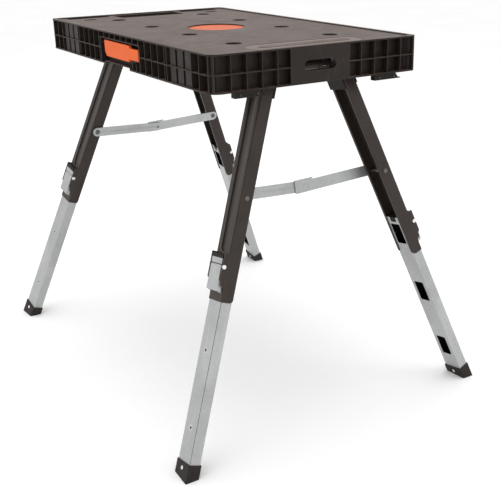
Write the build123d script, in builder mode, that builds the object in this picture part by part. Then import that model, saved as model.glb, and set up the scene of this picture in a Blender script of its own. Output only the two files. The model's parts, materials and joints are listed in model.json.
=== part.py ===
from build123d import *
import os
from math import asin, atan2, cos, degrees, hypot, radians, sin, sqrt

# Folding work table: a ribbed plastic top on two folding A-frames with telescoping legs.
# Origin: on the floor, under the middle of the top. +X points to the end with the two
# accessory brackets (the clip end), -X to the end with the trays (the tray end), and
# -Y to the side with the carry handle (the front). All sizes in millimetres.

# ---------------------------------------------------------------- worktop
TOP_LENGTH = 850.0
TOP_WIDTH = 498.0
WORK_HEIGHT = 818.0
SKIRT_HEIGHT = 74.0
FRONT_CORNER_RADIUS = 26.0
CORNER_RADIUS = 12.0
WALL_CORNER_RADIUS = 10.0
RIM_WIDTH = 10.0
RIM_RISE = 2.0
DECK_THICKNESS = 4.0
RIM_EDGE = 3.2
CELL_DEPTH = 16.0
SKIRT_WALL = 3.0
FIN = 1.8
SIDE_PITCH = 31.0
END_PITCH = 34.5
MID_RIB_DROP = 40.0

SKIRT_BOTTOM = WORK_HEIGHT - SKIRT_HEIGHT
DECK_TOP = WORK_HEIGHT - RIM_RISE
DECK_BOTTOM = DECK_TOP - DECK_THICKNESS
MID_RIB = WORK_HEIGHT - MID_RIB_DROP
END_FACE = TOP_LENGTH / 2
SIDE_FACE = TOP_WIDTH / 2

DOG_HOLE_RADIUS = 17.0
DOG_SLEEVE_WALL = 3.0
DOG_SLEEVE_DROP = 9.0
DOG_PITCH = 193.0
DOG_ROW = 120.0

DISC_DIAMETER = 133.0
DISC_THICKNESS = 3.0
DISC_SINK = 2.5
DISC_GAP = 0.4

TRAY_FLOOR = 2.0
TRAYS = [(372.0, 0.0, 64.0, 178.0, 8.0)]
TRAYS += [(398.0, y, 28.0, 112.0, 12.0) for y in (-160.0, 160.0)]
TRAYS += [(345.0, y, 17.0, 33.0, 4.0) for y in (-175.0, 175.0)]

RIB_DROP = 4.0
STADIUM_X = 370.0
STADIUM_OUTSIDE = (272.0, 72.0)
STADIUM_ISLAND = (214.0, 26.0)
STADIUM_DEPTH = 0.5

PANEL_WIDTH = 143.0
HAND_SLOT = (78.0, 22.0)
HAND_SLOT_HEIGHT = 779.0
SHALLOW_PADS = (264.0, 296.5, 329.0)
SHALLOW_PAD_WIDTH = 24.0
SHALLOW_DEPTH = 4.0

# ---------------------------------------------------------------- accessory brackets under the +X edge
BRACKET_Y = (-168.0, 168.0)
BRACKET_WIDTH = 64.0
BRACKET_DROP = 11.0
BRACKET_SCREW_SPREAD = 39.0
BRACKET_SCREW_HEIGHT = 738.0

# ---------------------------------------------------------------- carry handle in the front skirt
POCKET = (-100.0, 111.0)
POCKET_TOP = 802.0
GRIP_NOTCH = (-76.0, 56.0)
GRIP_NOTCH_RISE = 5.5
HANDLE_PANEL = (-76.0, 55.0, 763.0, 799.5)
HANDLE_TAB = (50.0, 106.0, 769.0, 793.0)
HANDLE_CUT = 9.0
HANDLE_THICKNESS = 7.0
HANDLE_PIN_HEIGHT = 791.0
HANDLE_PIN_DEPTH = 5.5
HANDLE_PIN_RADIUS = 2.0

# ---------------------------------------------------------------- end frames and legs
PIVOT_X = 352.2
PIVOT_Y = 84.5
PIVOT_HEIGHT = 770.0
FRAME_TILT = 9.78
LEG_SPLAY = 20.43

FRAME_TUBE_RADIUS = 12.5
FRAME_TUBE_WALL = 1.5
YOKE_INSIDE = 62.0
YOKE_PLATE = 3.0
YOKE_EAR_RADIUS = 17.0
SADDLE_Y = 48.0
SADDLE_WIDTH = 16.0
SADDLE_BOSS_HALF = 24.0
SADDLE_SCREW_OUT = 19.0
SADDLE_SCREW_RADIUS = 2.0
SADDLE_SCREW_DEPTH = 14.0
RUNNING_GAP = 0.05
SIDE_GAP = 0.3

PIVOT_BOLT_RADIUS = 5.0
PIVOT_BOLT_HEAD = 3.0

CHANNEL = (54.0, 27.4)
CHANNEL_WALL = 1.2
CHANNEL_LIP = 7.0
CHANNEL_TOP = 8.0
CHANNEL_END = 475.0
COLLAR_END = 57.7
COLLAR_PAD = 4.0
GROOVE_HALF = 10.5
GROOVE_END = 375.0
GROOVE_LAND = 2.2
LAND_END = 386.0

TUBE = (51.0, 24.4)
TUBE_WALL = 1.5
TUBE_TOP = 378.0
TUBE_END_HEIGHT = 5.0
WINDOW = (30.0, 52.0)
WINDOW_PITCH = 159.0
FIRST_WINDOW = 422.0
LOCATING_HOLE_RADIUS = 3.6
TUBE_NOTCH = (19.0, 12.0)

FOOT = (56.0, 29.0)
FOOT_TOP = 806.0
FOOT_RIVET = 818.0

# ---------------------------------------------------------------- leg locks
LOCK_PIN = 405.0
LOCK_PIN_OUT = 21.5
LOCK_PIN_RADIUS = 2.5
EAR_OUT = 25.7
EAR_THICKNESS = 1.6
KNUCKLE_RADIUS = 4.5
LEVER_HALF = 21.3
LEVER_SHEET = 1.5
LEVER_END = 454.0
CAP_TOP = 380.5
COVER_TOP = 388.5

# ---------------------------------------------------------------- folding stays
STAY_PIVOT = 263.0
STAY_SAG = 8.0
STAY_HEIGHT = 24.0
STAY_THICKNESS = 2.5
STAY_BOLT_RADIUS = 4.0
STAY_STOP_RISE = 4.2

# Directions of the +X +Y leg: NORMAL across the end frame, OUTWARD in its plane, UP the leg.
TILT = radians(FRAME_TILT)
SPLAY = radians(LEG_SPLAY)
FRAME_NORMAL = (cos(TILT), 0.0, sin(TILT))
FRAME_UP = (-sin(TILT), 0.0, cos(TILT))
LEG_UP = (-cos(SPLAY) * sin(TILT), -sin(SPLAY), cos(SPLAY) * cos(TILT))
END_PLANE = Plane(origin=(PIVOT_X, 0, PIVOT_HEIGHT), x_dir=FRAME_NORMAL, z_dir=FRAME_UP)
LEG_PLANE = Plane(origin=(PIVOT_X, PIVOT_Y, PIVOT_HEIGHT), x_dir=FRAME_NORMAL, z_dir=LEG_UP)

ENDS = {"clip": 1, "tray": -1}
CORNERS = {
    "clip_front": (1, -1),
    "clip_rear": (1, 1),
    "tray_front": (-1, -1),
    "tray_rear": (-1, 1),
}


# ================================================================ helpers
def down(distance):
    """The leg's cross-section plane at a distance down the leg from its pivot."""
    return Plane.XY.offset(-distance)


def level(height):
    """A horizontal plane at a height above the floor, seen from the leg's own frame."""
    world_up = (sin(TILT), sin(SPLAY) * cos(TILT), cos(SPLAY) * cos(TILT))
    along = (PIVOT_HEIGHT - height) / world_up[2]
    return Plane(origin=(0, 0, -along), z_dir=world_up)


def placed(piece, plane, x_side, y_side=1):
    """Carry a piece made in a +X +Y frame to its own end and side of the table."""
    with BuildPart() as carried:
        with Locations(plane.location):
            add(piece.part)
        if x_side < 0:
            mirror(about=Plane.YZ, mode=Mode.REPLACE)
        if y_side < 0:
            mirror(about=Plane.XZ, mode=Mode.REPLACE)
    return carried


def save(piece, label):
    """Write one sub-part as its own STEP file."""
    piece.part.label = label
    export_step(piece.part, "parts/" + label + ".step")


# ================================================================ worktop
def fin_spots(first, pitch, last):
    """Evenly pitched fin positions on both sides of the middle."""
    spots = []
    spot = first
    while spot < last:
        spots += [-spot, spot]
        spot += pitch
    return spots


def top_outline():
    """The top's outline, drawn into the sketch that is open: its front +X corner is rounder."""
    Rectangle(TOP_LENGTH, TOP_WIDTH)
    fillet([v for v in vertices() if v.X > 0 and v.Y < 0], radius=FRONT_CORNER_RADIUS)
    fillet([v for v in vertices() if v.X < 0 and v.Y < 0], radius=CORNER_RADIUS)
    fillet([v for v in vertices() if v.Y > SIDE_FACE - 1.0], radius=CORNER_RADIUS)


def make_outline_block():
    """Solid block with the top's outline, as high as the skirt."""
    with BuildPart() as block:
        with BuildSketch(Plane.XY.offset(SKIRT_BOTTOM)):
            top_outline()
        extrude(amount=SKIRT_HEIGHT)
    return block


def make_skirt_body():
    """Deck with its rim, the skirt's inner wall, flange, middle rib and all its fins."""
    wall_outer = (TOP_LENGTH - 2 * CELL_DEPTH, TOP_WIDTH - 2 * CELL_DEPTH)
    wall_inner = (wall_outer[0] - 2 * SKIRT_WALL, wall_outer[1] - 2 * SKIRT_WALL)
    inner_radius = WALL_CORNER_RADIUS - SKIRT_WALL
    skirt = WORK_HEIGHT - RIM_EDGE - SKIRT_BOTTOM
    fill = CELL_DEPTH - SHALLOW_DEPTH
    pads = [side * x for side in (-1, 1) for x in SHALLOW_PADS]
    zone_start = SHALLOW_PADS[0] - SIDE_PITCH
    zone_end = SHALLOW_PADS[-1] + SIDE_PITCH / 2 + 4.0
    side_fins = fin_spots(SIDE_PITCH / 2, SIDE_PITCH, zone_start + 1.0)
    side_fins += fin_spots(zone_start + 9.0, SIDE_PITCH, zone_start + 10.0)
    side_fins += fin_spots(zone_end, SIDE_PITCH, END_FACE - CORNER_RADIUS)
    side_rows = (-(SIDE_FACE - CELL_DEPTH / 2), SIDE_FACE - CELL_DEPTH / 2)
    end_fins = fin_spots(PANEL_WIDTH / 2 + 30.0, END_PITCH, SIDE_FACE - FIN)
    end_rows = (-(END_FACE - CELL_DEPTH / 2), END_FACE - CELL_DEPTH / 2)
    corners = [
        (x * (END_FACE - CELL_DEPTH / 2), y * (SIDE_FACE - CELL_DEPTH / 2))
        for x in (-1, 1)
        for y in (-1, 1)
    ]
    outline_block = make_outline_block()
    with BuildPart() as body:
        with BuildSketch(Plane.XY.offset(WORK_HEIGHT - RIM_EDGE)):
            Rectangle(TOP_LENGTH, TOP_WIDTH)
        extrude(amount=RIM_EDGE)
        with BuildSketch(Plane.XY.offset(DECK_TOP)):
            RectangleRounded(
                TOP_LENGTH - 2 * RIM_WIDTH, TOP_WIDTH - 2 * RIM_WIDTH, WALL_CORNER_RADIUS
            )
        extrude(amount=RIM_RISE, mode=Mode.SUBTRACT)
        with BuildSketch(Plane.XY.offset(DECK_BOTTOM)):
            RectangleRounded(*wall_outer, WALL_CORNER_RADIUS)
        extrude(amount=DECK_THICKNESS)
        with BuildSketch(Plane.XY.offset(SKIRT_BOTTOM)):
            RectangleRounded(*wall_outer, WALL_CORNER_RADIUS)
            RectangleRounded(*wall_inner, inner_radius, mode=Mode.SUBTRACT)
        extrude(amount=skirt)
        for height, thickness in ((SKIRT_BOTTOM, SKIRT_WALL), (MID_RIB, FIN)):
            with BuildSketch(Plane.XY.offset(height)):
                Rectangle(TOP_LENGTH, TOP_WIDTH)
                RectangleRounded(*wall_inner, inner_radius, mode=Mode.SUBTRACT)
            extrude(amount=thickness)
        with BuildSketch(Plane.XY.offset(SKIRT_BOTTOM)):
            with Locations(*[(x, y) for x in side_fins for y in side_rows]):
                Rectangle(FIN, CELL_DEPTH)
            with Locations(*[(x, y) for x in end_rows for y in end_fins]):
                Rectangle(CELL_DEPTH, FIN)
            # shallow pads near each end of the long sides
            for x in pads:
                with GridLocations(1, 2 * (SIDE_FACE - CELL_DEPTH + fill / 2), 1, 2):
                    with Locations((x, 0)):
                        Rectangle(SHALLOW_PAD_WIDTH, fill)
            # a fin out to each corner, along its diagonal
            for x, y in corners:
                with Locations((x, y)):
                    Rectangle(FIN, 2 * CELL_DEPTH, rotation=-45 if x * y > 0 else 45)
        extrude(amount=skirt)
        with BuildSketch(Plane.XY.offset(SKIRT_BOTTOM - 1.0)):
            RectangleRounded(*wall_inner, inner_radius)
        extrude(amount=DECK_BOTTOM - SKIRT_BOTTOM + 1.0, mode=Mode.SUBTRACT)
        add(outline_block.part, mode=Mode.INTERSECT)
    return body


def make_end_panels():
    """Flat panel and slot sleeve in the middle of each end."""
    slot_length, slot_height = HAND_SLOT
    with BuildPart() as panels:
        for side in (-1, 1):
            face = Plane(origin=(side * END_FACE, 0, 0), x_dir=(0, side, 0), z_dir=(side, 0, 0))
            with BuildSketch(face):
                with Locations((0, (SKIRT_BOTTOM + WORK_HEIGHT) / 2)):
                    Rectangle(PANEL_WIDTH, SKIRT_HEIGHT)
            extrude(amount=-SKIRT_WALL)
            with BuildSketch(face):
                with Locations((0, HAND_SLOT_HEIGHT)):
                    SlotOverall(slot_length + 2 * SKIRT_WALL, slot_height + 2 * SKIRT_WALL)
            extrude(amount=-CELL_DEPTH)
    return panels


def make_hand_slots():
    """The through slots in both end panels."""
    with BuildPart() as slots:
        with BuildSketch(Plane.YZ.offset(-END_FACE)):
            with Locations((0, HAND_SLOT_HEIGHT)):
                SlotOverall(*HAND_SLOT)
        extrude(amount=2 * END_FACE)
    return slots


def make_handle_pocket():
    """Space of the carry handle's pocket, with the raised finger notch below it."""
    notch_start, notch_end = GRIP_NOTCH
    pocket_start, pocket_end = POCKET
    pocket_y = -(SIDE_FACE - CELL_DEPTH / 2)
    with BuildPart() as pocket:
        with BuildSketch(Plane.XY.offset(SKIRT_BOTTOM + SKIRT_WALL)):
            with Locations(((pocket_start + pocket_end) / 2, pocket_y)):
                Rectangle(pocket_end - pocket_start, CELL_DEPTH)
        extrude(amount=POCKET_TOP - SKIRT_BOTTOM - SKIRT_WALL)
        with BuildSketch(Plane.XY.offset(SKIRT_BOTTOM)):
            with Locations(((notch_start + notch_end) / 2, pocket_y)):
                Rectangle(notch_end - notch_start, CELL_DEPTH)
        extrude(amount=GRIP_NOTCH_RISE)
    return pocket


def make_pocket_frame():
    """Ribs that close the pocket above, at both sides and round the finger notch."""
    notch_start, notch_end = GRIP_NOTCH
    pocket_start, pocket_end = POCKET
    pocket_y = -(SIDE_FACE - CELL_DEPTH / 2)
    notch_plate = SKIRT_BOTTOM + GRIP_NOTCH_RISE
    with BuildPart() as frame:
        with BuildSketch(Plane.XY.offset(POCKET_TOP)):
            with Locations(((pocket_start + pocket_end) / 2, pocket_y)):
                Rectangle(pocket_end - pocket_start, CELL_DEPTH)
        extrude(amount=FIN)
        with BuildSketch(Plane.XY.offset(SKIRT_BOTTOM)):
            with Locations((pocket_start - 1.2, pocket_y), (pocket_end + 1.2, pocket_y)):
                Rectangle(2.4, CELL_DEPTH)
        extrude(amount=POCKET_TOP + FIN - SKIRT_BOTTOM)
        with BuildSketch(Plane.XY.offset(notch_plate)):
            with Locations(((notch_start + notch_end) / 2, pocket_y)):
                Rectangle(notch_end - notch_start, CELL_DEPTH)
        extrude(amount=FIN)
        with BuildSketch(Plane.XY.offset(SKIRT_BOTTOM)):
            with Locations((notch_start - FIN / 2, pocket_y), (notch_end + FIN / 2, pocket_y)):
                Rectangle(FIN, CELL_DEPTH)
        extrude(amount=GRIP_NOTCH_RISE + FIN)
        # short ribs below the tab
        with BuildSketch(Plane.XY.offset(SKIRT_BOTTOM)):
            with Locations((73.0, pocket_y), (92.0, pocket_y)):
                Rectangle(FIN, CELL_DEPTH)
        extrude(amount=18.0)
        with BuildSketch(Plane.YZ.offset(pocket_start - 2.4)):
            with Locations((-SIDE_FACE + HANDLE_PIN_DEPTH, HANDLE_PIN_HEIGHT)):
                Circle(HANDLE_PIN_RADIUS)
        extrude(amount=pocket_end - pocket_start + 4.8, mode=Mode.SUBTRACT)
    return frame


def make_underside_ribs():
    """Shallow grid of ribs, dog hole sleeves, disc seat and tray floors under the deck."""
    seat = DECK_TOP - DISC_SINK - DISC_THICKNESS
    with BuildPart() as ribs:
        with BuildSketch(Plane.XY.offset(DECK_BOTTOM - RIB_DROP)):
            with GridLocations(1, 60, 1, 7):
                Rectangle(TOP_LENGTH - 2 * CELL_DEPTH, FIN)
            with GridLocations(60, 1, 13, 1):
                Rectangle(FIN, TOP_WIDTH - 2 * CELL_DEPTH)
        extrude(amount=RIB_DROP)
        with BuildSketch(Plane.XY.offset(DECK_BOTTOM - DOG_SLEEVE_DROP)):
            with GridLocations(DOG_PITCH, 2 * DOG_ROW, 4, 2):
                Circle(DOG_HOLE_RADIUS + DOG_SLEEVE_WALL)
        extrude(amount=DOG_SLEEVE_DROP)
        with BuildSketch(Plane.XY.offset(seat - SKIRT_WALL)):
            Circle(DISC_DIAMETER / 2 + SKIRT_WALL)
        extrude(amount=DECK_BOTTOM - seat + SKIRT_WALL)
        for x, y, length, width, depth in TRAYS:
            with BuildSketch(Plane.XY.offset(DECK_TOP - depth - TRAY_FLOOR)):
                with Locations((-x, y)):
                    Rectangle(length + 4.0, width + 4.0)
            extrude(amount=depth + TRAY_FLOOR - 1.0)
    return ribs


def make_saddle_bosses():
    """Four blocks under the deck, each with half of a bearing for a frame tube."""
    spots = [(x, y) for x in (-PIVOT_X, PIVOT_X) for y in (-SADDLE_Y, SADDLE_Y)]
    with BuildPart() as bosses:
        with BuildSketch(Plane.XY.offset(PIVOT_HEIGHT)):
            with Locations(*spots):
                Rectangle(2 * SADDLE_BOSS_HALF, SADDLE_WIDTH)
        extrude(amount=DECK_BOTTOM - PIVOT_HEIGHT)
        with BuildSketch(Plane.XZ.offset(-SADDLE_Y - SADDLE_WIDTH)):
            with Locations((-PIVOT_X, PIVOT_HEIGHT), (PIVOT_X, PIVOT_HEIGHT)):
                Circle(FRAME_TUBE_RADIUS + RUNNING_GAP)
        extrude(amount=2 * (SADDLE_Y + SADDLE_WIDTH), mode=Mode.SUBTRACT)
        with BuildSketch(Plane.XY.offset(PIVOT_HEIGHT)):
            for x, y in spots:
                with Locations((x - SADDLE_SCREW_OUT, y), (x + SADDLE_SCREW_OUT, y)):
                    Circle(SADDLE_SCREW_RADIUS)
        extrude(amount=SADDLE_SCREW_DEPTH, mode=Mode.SUBTRACT)
    return bosses


def make_deck_recesses():
    """Dog holes, disc seat, trays and the shallow stadium groove, as one cutting body."""
    seat = DECK_TOP - DISC_SINK - DISC_THICKNESS
    with BuildPart() as recesses:
        with BuildSketch(Plane.XY.offset(DECK_BOTTOM - DOG_SLEEVE_DROP)):
            with GridLocations(DOG_PITCH, 2 * DOG_ROW, 4, 2):
                Circle(DOG_HOLE_RADIUS)
        extrude(amount=DOG_SLEEVE_DROP + DECK_THICKNESS)
        with BuildSketch(Plane.XY.offset(seat)):
            Circle(DISC_DIAMETER / 2 + DISC_GAP)
        extrude(amount=DISC_THICKNESS + DISC_SINK)
        for x, y, length, width, depth in TRAYS:
            with BuildSketch(Plane.XY.offset(DECK_TOP - depth)):
                with Locations((-x, y)):
                    RectangleRounded(length, width, 5.0)
            extrude(amount=depth)
        with BuildSketch(Plane.XY.offset(DECK_TOP - STADIUM_DEPTH)):
            with Locations((STADIUM_X, 0)):
                SlotOverall(*STADIUM_OUTSIDE, rotation=90)
                SlotOverall(*STADIUM_ISLAND, rotation=90, mode=Mode.SUBTRACT)
        extrude(amount=STADIUM_DEPTH)
    return recesses


def make_top_shell():
    """One moulding: deck, open-celled skirt, end panels, handle pocket, bosses and ribs."""
    skirt_body = make_skirt_body()
    end_panels = make_end_panels()
    hand_slots = make_hand_slots()
    handle_pocket = make_handle_pocket()
    pocket_frame = make_pocket_frame()
    underside_ribs = make_underside_ribs()
    saddle_bosses = make_saddle_bosses()
    deck_recesses = make_deck_recesses()
    with BuildPart() as shell:
        add(skirt_body.part)
        add(end_panels.part)
        add(underside_ribs.part)
        add(saddle_bosses.part)
        add(handle_pocket.part, mode=Mode.SUBTRACT)
        add(pocket_frame.part)
        add(hand_slots.part, mode=Mode.SUBTRACT)
        add(deck_recesses.part, mode=Mode.SUBTRACT)
    return shell


def make_centre_disc():
    """Snap-in disc, sunk a little below the deck."""
    bottom = DECK_TOP - DISC_SINK - DISC_THICKNESS
    with BuildPart() as disc:
        with BuildSketch(Plane.XY.offset(bottom)):
            Circle(DISC_DIAMETER / 2)
        extrude(amount=DISC_THICKNESS)
        chamfer(disc.edges().group_by(Axis.Z)[-1], length=0.6)
    return disc


def make_hinge_saddles():
    """Four zinc straps that hold the frame tubes up in their bosses."""
    strap_outer = FRAME_TUBE_RADIUS + RUNNING_GAP + 2.0
    with BuildPart() as saddles:
        for y in (-SADDLE_Y, SADDLE_Y):
            with BuildSketch(Plane.XZ.offset(-y - SADDLE_WIDTH / 2)):
                for x in (-PIVOT_X, PIVOT_X):
                    with Locations((x, PIVOT_HEIGHT)):
                        Circle(strap_outer)
                    with Locations((x, PIVOT_HEIGHT - 1.0)):
                        Rectangle(2 * SADDLE_BOSS_HALF, 2.0)
                    with Locations((x, PIVOT_HEIGHT + strap_outer)):
                        Rectangle(2 * strap_outer, 2 * strap_outer, mode=Mode.SUBTRACT)
                    with Locations((x, PIVOT_HEIGHT)):
                        Circle(FRAME_TUBE_RADIUS + RUNNING_GAP, mode=Mode.SUBTRACT)
            extrude(amount=SADDLE_WIDTH)
        with BuildSketch(Plane.XY.offset(PIVOT_HEIGHT - 2.0)):
            for x in (-PIVOT_X, PIVOT_X):
                for y in (-SADDLE_Y, SADDLE_Y):
                    with Locations((x - SADDLE_SCREW_OUT, y), (x + SADDLE_SCREW_OUT, y)):
                        Circle(SADDLE_SCREW_RADIUS + RUNNING_GAP)
        extrude(amount=2.0, mode=Mode.SUBTRACT)
    return saddles


def make_saddle_screws():
    """Eight pan-head screws, two through each strap."""
    with BuildPart() as screws:
        for x in (-PIVOT_X, PIVOT_X):
            for y in (-SADDLE_Y, SADDLE_Y):
                spots = [(x - SADDLE_SCREW_OUT, y), (x + SADDLE_SCREW_OUT, y)]
                with BuildSketch(Plane.XY.offset(PIVOT_HEIGHT - 4.4)):
                    with Locations(*spots):
                        Circle(4.0)
                extrude(amount=2.4)
                with BuildSketch(Plane.XY.offset(PIVOT_HEIGHT - 2.0)):
                    with Locations(*spots):
                        Circle(SADDLE_SCREW_RADIUS - 0.05)
                extrude(amount=2.0 + SADDLE_SCREW_DEPTH - 1.0)
    return screws


def make_accessory_brackets():
    """Two low black blocks under the flange, each with a thin floor lip that runs on to +Y."""
    bottom = SKIRT_BOTTOM - BRACKET_DROP
    with BuildPart() as brackets:
        for y in BRACKET_Y:
            start = y - BRACKET_WIDTH / 2
            end = y + BRACKET_WIDTH / 2
            with BuildSketch(Plane.YZ.offset(END_FACE - 12.0)):
                with BuildLine():
                    Polyline(
                        (start, SKIRT_BOTTOM), (start, bottom), (end + 5.0, bottom),
                        (end + 5.0, bottom + 1.6), (end - 1.0, bottom + 1.6),
                        (end - 8.0, SKIRT_BOTTOM), close=True,
                    )
                make_face()
                fillet([v for v in vertices() if v.Y < start + 1.0 and v.Z < bottom + 1.0], radius=7.0)
            extrude(amount=14.0)
            with BuildSketch(Plane.YZ.offset(END_FACE)):
                with Locations((y, BRACKET_SCREW_HEIGHT)):
                    with GridLocations(BRACKET_SCREW_SPREAD, 1, 2, 1):
                        Circle(1.65)
            extrude(amount=2.0, mode=Mode.SUBTRACT)
    return brackets


def make_bracket_screws():
    """Four small screws in the brackets' faces."""
    with BuildPart() as screws:
        for y in BRACKET_Y:
            with BuildSketch(Plane.YZ.offset(END_FACE)):
                with Locations((y, BRACKET_SCREW_HEIGHT)):
                    with GridLocations(BRACKET_SCREW_SPREAD, 1, 2, 1):
                        Circle(1.6)
            extrude(amount=2.0)
            with BuildSketch(Plane.YZ.offset(END_FACE + 2.0)):
                with Locations((y, BRACKET_SCREW_HEIGHT)):
                    with GridLocations(BRACKET_SCREW_SPREAD, 1, 2, 1):
                        Circle(2.8)
            extrude(amount=1.0)
    return screws


def make_carry_handle():
    """Flap in the front skirt: a deep grip panel and a narrower tab, hinged along the top."""
    left, step, low, high = HANDLE_PANEL
    tab_start, right, tab_low, tab_high = HANDLE_TAB
    with BuildPart() as handle:
        with BuildSketch(Plane.XZ.offset(SIDE_FACE)):
            with BuildLine():
                Polyline(
                    (left, high), (left, low + HANDLE_CUT), (left + HANDLE_CUT, low),
                    (step, low), (step + 2.0, tab_low), (right, tab_low), (right, tab_high),
                    (step + 8.0, tab_high), (step + 2.0, high), close=True,
                )
            make_face()
        extrude(amount=-HANDLE_THICKNESS)
        with BuildSketch(Plane.YZ.offset(left)):
            with Locations((-SIDE_FACE + HANDLE_PIN_DEPTH, HANDLE_PIN_HEIGHT)):
                Circle(HANDLE_PIN_RADIUS + 2.6)
        extrude(amount=step - left)
        with BuildSketch(Plane.YZ.offset(left)):
            with Locations((-SIDE_FACE + HANDLE_PIN_DEPTH, HANDLE_PIN_HEIGHT)):
                Circle(HANDLE_PIN_RADIUS + RUNNING_GAP)
        extrude(amount=right - left, mode=Mode.SUBTRACT)
        # the upper front edge is cut back so that the flap turns under the pocket's rib
        with BuildSketch(Plane.YZ.offset(left)):
            with Locations((-SIDE_FACE + 3.5, high)):
                Rectangle(7.2, 3.0)
        extrude(amount=right - left, mode=Mode.SUBTRACT)
    return handle


def make_handle_pin():
    """Steel pin of the carry handle, held in the pocket's side walls."""
    pocket_start, pocket_end = POCKET
    with BuildPart() as pin:
        with BuildSketch(Plane.YZ.offset(pocket_start - 2.4)):
            with Locations((-SIDE_FACE + HANDLE_PIN_DEPTH, HANDLE_PIN_HEIGHT)):
                Circle(HANDLE_PIN_RADIUS)
        extrude(amount=pocket_end - pocket_start + 4.8)
    return pin


# ================================================================ end frames
def make_frame_tube():
    """Cross tube that turns in the saddles; it runs between the two yokes."""
    with BuildPart() as tube:
        with BuildSketch(Plane.XZ.offset(-YOKE_INSIDE)):
            Circle(FRAME_TUBE_RADIUS)
            Circle(FRAME_TUBE_RADIUS - FRAME_TUBE_WALL, mode=Mode.SUBTRACT)
        extrude(amount=2 * YOKE_INSIDE)
    return tube


def make_yokes():
    """Two U-shaped yokes welded to the tube's ends, one round each leg's head."""
    ear_inside = CHANNEL[0] / 2 + SIDE_GAP
    reach = PIVOT_Y - YOKE_INSIDE
    with BuildPart() as yokes:
        for side in (-1, 1):
            with BuildSketch(Plane.YZ.offset(-ear_inside - YOKE_PLATE)):
                with Locations((side * (YOKE_INSIDE + reach / 2), 0)):
                    Rectangle(reach, 2 * YOKE_EAR_RADIUS)
                with Locations((side * PIVOT_Y, 0)):
                    Circle(YOKE_EAR_RADIUS)
            extrude(amount=2 * (ear_inside + YOKE_PLATE))
            with BuildSketch(Plane.YZ.offset(-ear_inside)):
                with Locations((side * (PIVOT_Y + YOKE_PLATE), 0)):
                    Rectangle(2 * reach, 3 * YOKE_EAR_RADIUS)
            extrude(amount=2 * ear_inside, mode=Mode.SUBTRACT)
            with BuildSketch(Plane.YZ.offset(-ear_inside - YOKE_PLATE)):
                with Locations((side * PIVOT_Y, 0)):
                    Circle(PIVOT_BOLT_RADIUS + RUNNING_GAP)
            extrude(amount=2 * (ear_inside + YOKE_PLATE), mode=Mode.SUBTRACT)
    return yokes


def make_pivot_bolts():
    """The two leg pivot bolts of one end, each with its head and nut."""
    half = CHANNEL[0] / 2 + SIDE_GAP + YOKE_PLATE
    with BuildPart() as bolts:
        with BuildSketch(Plane.YZ.offset(-half)):
            with Locations((-PIVOT_Y, 0), (PIVOT_Y, 0)):
                Circle(PIVOT_BOLT_RADIUS)
        extrude(amount=2 * half)
        with BuildSketch(Plane.YZ.offset(half)):
            with Locations((-PIVOT_Y, 0), (PIVOT_Y, 0)):
                RegularPolygon(8.5, 6)
        extrude(amount=PIVOT_BOLT_HEAD)
        with BuildSketch(Plane.YZ.offset(-half)):
            with Locations((-PIVOT_Y, 0), (PIVOT_Y, 0)):
                Circle(8.0)
        extrude(amount=-PIVOT_BOLT_HEAD)
    return bolts


# ================================================================ upper legs
def make_leg_head():
    """Plastic head on the channel's top: pivot bore, core inside, pads on both broad faces."""
    half_n = CHANNEL[0] / 2
    half_v = CHANNEL[1] / 2
    pad_v = half_v + COLLAR_PAD
    core = (CHANNEL[0] - 2 * CHANNEL_WALL - 0.4, CHANNEL[1] - 2 * CHANNEL_WALL - 0.4)
    opening = CHANNEL[0] - 2 * CHANNEL_LIP
    socket = COLLAR_END - CHANNEL_TOP
    with BuildPart() as head:
        with BuildSketch(Plane.YZ.offset(-half_n)):
            Circle(pad_v)
            with Locations((0, -CHANNEL_TOP / 2)):
                Rectangle(2 * pad_v, CHANNEL_TOP)
            with Locations((0, -CHANNEL_TOP - pad_v / 2)):
                Rectangle(2 * pad_v, pad_v, mode=Mode.SUBTRACT)
        extrude(amount=2 * half_n)
        with BuildSketch(down(COLLAR_END)):
            RectangleRounded(*core, 1.0)
            with Locations((0, -half_v)):
                Rectangle(opening - 0.4, 2 * CHANNEL_WALL)
            for side in (-1, 1):
                with Locations((0, side * (half_v + COLLAR_PAD / 2))):
                    Rectangle(2 * half_n, COLLAR_PAD)
        extrude(amount=socket)
        with BuildSketch(Plane.YZ.offset(-half_n)):
            Circle(PIVOT_BOLT_RADIUS + RUNNING_GAP)
        extrude(amount=2 * half_n, mode=Mode.SUBTRACT)
    return head


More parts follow.
